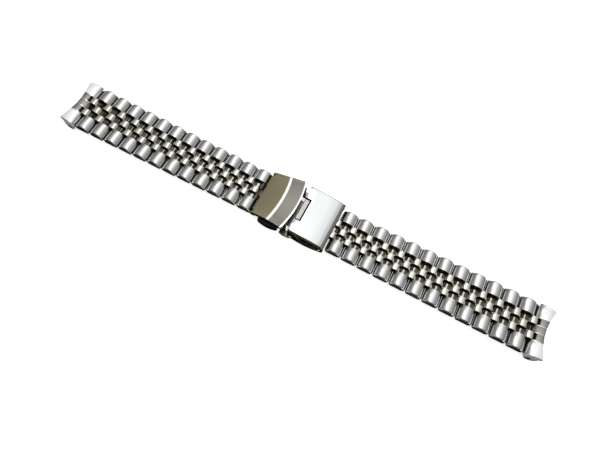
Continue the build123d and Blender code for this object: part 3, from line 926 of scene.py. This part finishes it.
def flap_blank():
    """The outside of the flap: strips across it whose edges follow the curved lines."""
    straight_x = FLAP_CREASE_X
    skirt_x = FLAP_HINGE[0] + FLAP_ROLL
    roll = sweep(*FLAP_HINGE, FLAP_ROLL, 90 + FLAP_BEVEL_DEG, 270, steps=18)
    skirt = [(x, flap_bevel(x, FLAP_SKIRT)) for x in (skirt_x, straight_x)]
    edge_x, edge_z = FLAP_EDGE
    lip_x = edge_x - FLAP_LIP
    crease_z = flap_bevel(straight_x)
    points = roll + skirt + [(edge_x, edge_z - FLAP_SKIRT), (edge_x, edge_z), (lip_x, edge_z)]
    points += [(straight_x + FLAP_RIDGE, crease_z), (straight_x, crease_z)]
    obj = draw_outline("Flap blank", points)
    bpy.ops.mesh.select_all(action="SELECT")
    bpy.ops.transform.translate(value=(0, -FLAP_FREE_HALF * MM, 0))
    step = {"value": (0, 2 * FLAP_FREE_HALF / FLAP_STRIPS * MM, 0)}
    for _ in range(FLAP_STRIPS):
        bpy.ops.mesh.extrude_region_move(TRANSFORM_OT_translate=step)
    bpy.ops.mesh.select_all(action="SELECT")
    bpy.ops.mesh.normals_make_consistent(inside=False)
    for number in range(FLAP_STRIPS + 1):
        share = number / FLAP_STRIPS * 2 - 1
        y = share * FLAP_FREE_HALF * MM
        crown = -((share * FLAP_FREE_HALF) ** 2) / (2 * FLAP_CROWN_RADIUS)
        here = crease_x(share)
        rise = flap_bevel(here) - crease_z + crown
        bulge = edge_bulge(share)
        moves = (
            (straight_x, crease_z, here - straight_x, rise),
            (straight_x + FLAP_RIDGE, crease_z, here - straight_x, rise - FLAP_RIDGE_DROP),
            (edge_x, edge_z, bulge, crown - FLAP_LIP_DROP),
            (lip_x, edge_z, bulge, crown),
            (edge_x, edge_z - FLAP_SKIRT, bulge, 0),
        )
        for x, z, move_x, move_z in moves:
            place = Vector((x * MM, y, z * MM))
            pick(obj, "vertices", lambda v: (v.co - place).length < FLAP_SNAP * MM)
            bpy.ops.transform.translate(value=(move_x * MM, 0, move_z * MM))
    hinge_end = skirt_x + FLAP_SKIRT_PAST
    for left, right, half in (
        (-math.inf, hinge_end, FLAP_HINGE_HALF),
        (hinge_end, edge_x - FLAP_EDGE_SHORT, FLAP_CREASE_HALF),
    ):
        pick(obj, "vertices", lambda v: left * MM < v.co.x < right * MM)
        bpy.ops.transform.resize(
            value=(1, half / FLAP_FREE_HALF, 1), center_override=(0, 0, 0), orient_type="GLOBAL"
        )
    bpy.ops.object.mode_set(mode="OBJECT")
    return obj


class BRACELET_OT_flap(bpy.types.Operator):
    """Build the safety flap of the clasp"""

    bl_idname = "bracelet.flap"
    bl_label = "Flap"

    def execute(self, context):
        colours = context.scene.bracelet_colours
        flap = flap_blank()
        flap.name = flap.data.name = "safety_flap"
        hinge_x, hinge_z = FLAP_HINGE
        edge_x, edge_z = FLAP_EDGE
        left = hinge_x + FLAP_ROLL - FLAP_THICKNESS / 2
        crest = crease_x(0)
        right = edge_x + FLAP_EDGE_BULGE + PAST_FLAP
        room = [
            (left, flap_bevel(left, FLAP_THICKNESS)),
            (crest, flap_bevel(crest, FLAP_THICKNESS)),
            (right, edge_z - FLAP_THICKNESS),
            (right, BELOW_FLAP),
            (left, BELOW_FLAP),
        ]
        cut(flap, prism("Room", room, FLAP_INSIDE_HALF * 2))
        ear_width = FLAP_INSIDE_HALF - EAR_INSIDE
        outside = hinge_x - FLAP_ROLL - PAST_FLAP
        low_neck = (outside, hinge_x + FLAP_ROLL - NECK_ROOM_RIGHT, BELOW_FLAP, hinge_z)
        high_neck = (outside, hinge_x - NECK_ROOM_LEFT, hinge_z - NECK_ROOM_LOW, ABOVE_FLAP)
        for sign in (1, -1):
            y = sign * (EAR_INSIDE + ear_width / 2)
            cut(flap, prism("Ear room", circle(*FLAP_HINGE, EAR_ROOM, points=24), ear_width, y))
            for neck in (low_neck, high_neck):
                cut(flap, slab("Neck room", *neck, ear_width, y))
        cut(flap, prism("Pin room", circle(*FLAP_HINGE, PIN_ROOM, points=12), FLAP_INSIDE_HALF * 2))
        settle(flap)
        round_edges(flap, 0.14, segments=2, limit=40)
        smooth(flap, angle=12)

        polished = steel("Flap bevel steel", colours.bevel, roughness=0.17)
        # Painted highlight for the ridge and the free edge
        ridge = steel("Flap ridge steel", colours.ridge, roughness=0.12)
        # Brushed field, darkened with painted shade
        field = steel("Flap field steel", colours.field, roughness=0.4, brush=BRUSH_FIELD)
        shaded = steel("Flap wall steel", colours.shaded, roughness=0.25)

        # The ridge, the lip and the high front of the free edge take the painted highlight; the low
        # and side walls take painted shade
        def part(x, y, z, normal):
            share = y / FLAP_FREE_HALF
            line = crease_x(share)
            if normal.z < FLAP_WALL_RISE:
                return 3 if z < FLAP_WALL_TOP or abs(normal.y) > FLAP_SIDE else 1
            if x < line - RIDGE_BEFORE:
                return 0
            lip = edge_x + edge_bulge(share) - FLAP_LIP
            return 1 if x < line + FLAP_RIDGE + RIDGE_AFTER or x > lip else 2

        paint(flap, [polished, ridge, field, shaded], part, level=PIN_Z / MM)
        dress(flap, None, "flap", ["flap"])
        return {"FINISHED"}


# Limits of the faces of the clasp, in millimetres at the height of the link pins

COVER_END_X = 13.0
COVER_END_LOW = 0.5
COVER_END_LEAN = 0.15
# The cover's turned down end is painted in bands of highlight and shade by the lean of its faces
COVER_BANDS = (0, 2, 1, 0, 1)
COVER_BAND_DEG = 20
COVER_TOP_RISE = 0.85
COVER_TOP_LOW = 2.5
CATCH_TOP_LOW = 3.7
LOBE_LEFT = -3.2
LOBE_TOP = -1.8


class BRACELET_OT_cover(bpy.types.Operator):
    """Build the cover of the clasp with its catch and bars"""

    bl_idname = "bracelet.cover"
    bl_label = "Cover"

    def execute(self, context):
        colours = context.scene.bracelet_colours
        polished = steel("Cover steel", colours.clasp, roughness=0.12)
        shaded = steel("Cover wall steel", colours.shaded, roughness=0.22)
        # Painted band of shade on the cover's turned down end
        end = steel("Cover end steel", colours.rib, roughness=0.25)
        satin = steel("Catch steel", colours.catch, roughness=0.35)
        cover = from_frame("cover", "clasp_cover")
        round_edges(cover, 0.12, segments=2, limit=40)
        smooth(cover, angle=30)

        # The top takes the polished steel, the walls painted shade, and the turned down end painted
        # bands of highlight and shade
        def part(x, y, z, normal):
            if x > COVER_END_X and z > COVER_END_LOW and normal.x > COVER_END_LEAN:
                lean = math.degrees(math.atan2(normal.x, normal.z))
                return COVER_BANDS[min(len(COVER_BANDS) - 1, int(lean / COVER_BAND_DEG))]
            return 0 if normal.z > COVER_TOP_RISE and z > COVER_TOP_LOW else 1

        # The catch takes the painted shade below its top
        def catch_part(x, y, z, normal):
            return 0 if z > CATCH_TOP_LOW else 1

        paint(cover, [polished, shaded, end], part, level=PIN_Z / MM)
        dress(cover, None, "cover", ["cover"])
        catch = from_frame("cover_catch", "catch_plate")
        smooth(catch, angle=30)
        paint(catch, [satin, shaded], catch_part, level=PIN_Z / MM)
        dress(catch, None, "cover", ["cover_catch"])
        bars = from_frame("cover_bars", "cover_pin_and_spring_bar")
        smooth(bars, angle=60)
        dress(bars, satin, "cover", ["cover_bars"])
        return {"FINISHED"}


class BRACELET_OT_clasp_frame(bpy.types.Operator):
    """Build the frame of the clasp, its blades, rivets and pins"""

    bl_idname = "bracelet.clasp_frame"
    bl_label = "Clasp frame"

    def execute(self, context):
        colours = context.scene.bracelet_colours
        satin = steel("Frame steel", colours.blade, roughness=0.3, brush=BRUSH_ALONG)
        shaded = steel("Frame wall steel", colours.shaded, roughness=0.3)
        lobe = steel("Catch lobe steel", colours.lobe, roughness=0.3)

        # The end piece takes painted shade, lighter on its lobes
        def frame_part(x, y, z, normal):
            return 1 if x > LOBE_LEFT and z < LOBE_TOP else 0

        for node, name, body, slot in (
            ("end_piece", "clasp_end_piece", "clasp_frame", "clasp_frame"),
            ("inner_blade", "inner_fold_blade", "clasp_frame", "clasp_frame"),
            ("outer_blade", "outer_fold_blade", "outer_blade", "clasp_frame"),
            ("blade_rivets", "rivets_of_blade", "clasp_frame", "pins"),
            ("hinge_pins", "flap_and_fold_pins", "clasp_frame", "pins"),
        ):
            piece = from_frame(node, name)
            round_edges(piece, 0.08, segments=1, limit=50)
            smooth(piece, angle=35)
            metal = satin
            if node == "end_piece":
                paint(piece, [shaded, lobe], frame_part, level=PIN_Z / MM)
                metal = None
            dress(piece, metal, body, [node])
        return {"FINISHED"}


# Stage, in metres and degrees

FLOOR_SIZE = 6
BOX_SIZE = (0.2, 0.6)
BOX_PLACE = (-0.05, 0.1, 0.6)
# The camera, fitted to the photograph, in millimetres about the height of the link pins
CAMERA_PLACE = (24.4, -75.7, 170.2)
CAMERA_AZIMUTH = 16.6
CAMERA_ELEVATION = 66.4
CAMERA_ROLL = 11.4
SENSOR_WIDTH = 36
# The room keeps this share of its light at the horizon, and all of it above this height
HORIZON_SHARE = 0.5
HORIZON_TOP = 0.25
# Brightness of the room by the tilt of a direction from overhead towards +X
ROOM = (
    (-90, (0.10, 0.10, 0.10)),
    (-62, (0.17, 0.17, 0.165)),
    (-40, (0.32, 0.32, 0.32)),
    (-20, (0.58, 0.58, 0.58)),
    (-9, (0.97, 0.97, 0.97)),
    (9, (1.0, 1.0, 1.0)),
    (21, (0.64, 0.64, 0.65)),
    (38, (0.42, 0.42, 0.43)),
    (62, (0.25, 0.25, 0.26)),
    (90, (0.14, 0.14, 0.14)),
)


class BRACELET_OT_stage(bpy.types.Operator):
    """Set up the floor, the lamps, the room and the camera"""

    bl_idname = "bracelet.stage"
    bl_label = "Stage"

    def execute(self, context):
        stage = context.scene.bracelet_stage
        leave_edit_mode()
        bpy.ops.object.select_all(action="DESELECT")
        bpy.ops.mesh.primitive_plane_add(size=FLOOR_SIZE, location=(0, 0, 0))
        floor = context.object
        floor.name = "Floor"
        material, tree, shader = new_material("Floor white")
        shader.inputs["Base Color"].default_value = (*stage.floor_colour, 1)
        shader.inputs["Roughness"].default_value = 0.9
        shader.inputs["Specular IOR Level"].default_value = 0.0
        path = tree.nodes.new("ShaderNodeLightPath")
        seen = path.outputs["Is Camera Ray"]
        for ray in ("Is Glossy Ray", "Is Transmission Ray"):
            seen = maths(tree, "MAXIMUM", seen, path.outputs[ray])
        shader.inputs["Emission Color"].default_value = (*stage.floor_colour, 1)
        glow = maths(tree, "MULTIPLY", seen, stage.floor_glow)
        tree.links.new(glow, shader.inputs["Emission Strength"])
        floor.data.materials.append(material)

        lamp = bpy.data.lights.new("Soft box", "AREA")
        lamp.shape = "RECTANGLE"
        lamp.size, lamp.size_y = BOX_SIZE
        lamp.energy = stage.lamp_power
        box = bpy.data.objects.new("Soft box", lamp)
        context.scene.collection.objects.link(box)
        box.location = BOX_PLACE
        box.rotation_euler = (-box.location).to_track_quat("-Z", "Y").to_euler()

        world = bpy.data.worlds.new("Room")
        context.scene.world = world
        world.use_nodes = True
        tree = world.node_tree
        tree.nodes.clear()
        output = tree.nodes.new("ShaderNodeOutputWorld")
        background = tree.nodes.new("ShaderNodeBackground")
        coordinates = tree.nodes.new("ShaderNodeTexCoord")
        split = tree.nodes.new("ShaderNodeSeparateXYZ")
        tree.links.new(coordinates.outputs["Generated"], split.inputs[0])
        height = split.outputs["Z"]
        tilt = maths(tree, "ARCTAN2", split.outputs["X"], height)
        half_turn = maths(tree, "MULTIPLY_ADD", tilt, 1 / math.pi, 0.5)
        stops = [((degrees + 90) / 180, level) for degrees, level in ROOM]
        glow = ramp(tree, half_turn, stops)
        fade = tree.nodes.new("ShaderNodeMapRange")
        fade.inputs["From Max"].default_value = HORIZON_TOP
        fade.inputs["To Min"].default_value = HORIZON_SHARE * stage.room_power
        fade.inputs["To Max"].default_value = stage.room_power
        tree.links.new(height, fade.inputs["Value"])
        tree.links.new(glow, background.inputs["Color"])
        tree.links.new(fade.outputs["Result"], background.inputs["Strength"])
        tree.links.new(background.outputs[0], output.inputs["Surface"])

        camera_data = bpy.data.cameras.new("Camera")
        camera_data.sensor_width = SENSOR_WIDTH
        camera_data.lens = stage.focal_length
        camera_data.clip_start = 0.001
        camera = bpy.data.objects.new("Camera", camera_data)
        context.scene.collection.objects.link(camera)
        context.scene.camera = camera
        turns = (CAMERA_AZIMUTH, CAMERA_ELEVATION, CAMERA_ROLL)
        azimuth, elevation, roll = (math.radians(turn) for turn in turns)
        level = math.cos(elevation)
        forward = Vector((-math.sin(azimuth) * level, math.cos(azimuth) * level, -math.sin(elevation)))
        right = Vector((math.cos(azimuth), math.sin(azimuth), 0))
        up = right.cross(forward)
        right_rolled = math.cos(roll) * right + math.sin(roll) * up
        up_rolled = -math.sin(roll) * right + math.cos(roll) * up
        turn = Matrix((right_rolled, up_rolled, -forward)).transposed().to_4x4()
        x, y, z = CAMERA_PLACE
        place = Vector((x * MM, y * MM, z * MM + PIN_Z))
        camera.matrix_world = Matrix.Translation(place) @ turn
        context.scene.view_settings.view_transform = "Standard"
        return {"FINISHED"}


PIECES = (
    BRACELET_OT_wide_links,
    BRACELET_OT_small_links,
    BRACELET_OT_link_pins,
    BRACELET_OT_end_links,
    BRACELET_OT_flap,
    BRACELET_OT_cover,
    BRACELET_OT_clasp_frame,
    BRACELET_OT_stage,
)


class BRACELET_PT_panel(bpy.types.Panel):
    """Lists the sizes, the colours and the pieces of the bracelet"""

    bl_label = "Bracelet"
    bl_idname = "BRACELET_PT_panel"
    bl_space_type = "VIEW_3D"
    bl_region_type = "UI"
    bl_category = "Bracelet"

    def draw(self, context):
        layout = self.layout
        for group in ("bracelet_sizes", "bracelet_colours", "bracelet_stage"):
            settings = getattr(context.scene, group)
            box = layout.box()
            for name in settings.__annotations__:
                box.prop(settings, name)
        for piece in PIECES:
            layout.operator(piece.bl_idname)


GROUPS = (LinkSizes, FinishColours, StageSettings)


def register():
    for cls in GROUPS + PIECES + (BRACELET_PT_panel,):
        bpy.utils.register_class(cls)
    bpy.types.Scene.bracelet_sizes = bpy.props.PointerProperty(type=LinkSizes)
    bpy.types.Scene.bracelet_colours = bpy.props.PointerProperty(type=FinishColours)
    bpy.types.Scene.bracelet_stage = bpy.props.PointerProperty(type=StageSettings)


def unregister():
    del bpy.types.Scene.bracelet_stage
    del bpy.types.Scene.bracelet_colours
    del bpy.types.Scene.bracelet_sizes
    for cls in reversed(GROUPS + PIECES + (BRACELET_PT_panel,)):
        bpy.utils.unregister_class(cls)


def main():
    """Build every piece through its operator."""
    register()
    for piece in PIECES:
        name = piece.bl_idname.split(".")[1]
        getattr(bpy.ops.bracelet, name)()


if __name__ == "__main__":
    main()
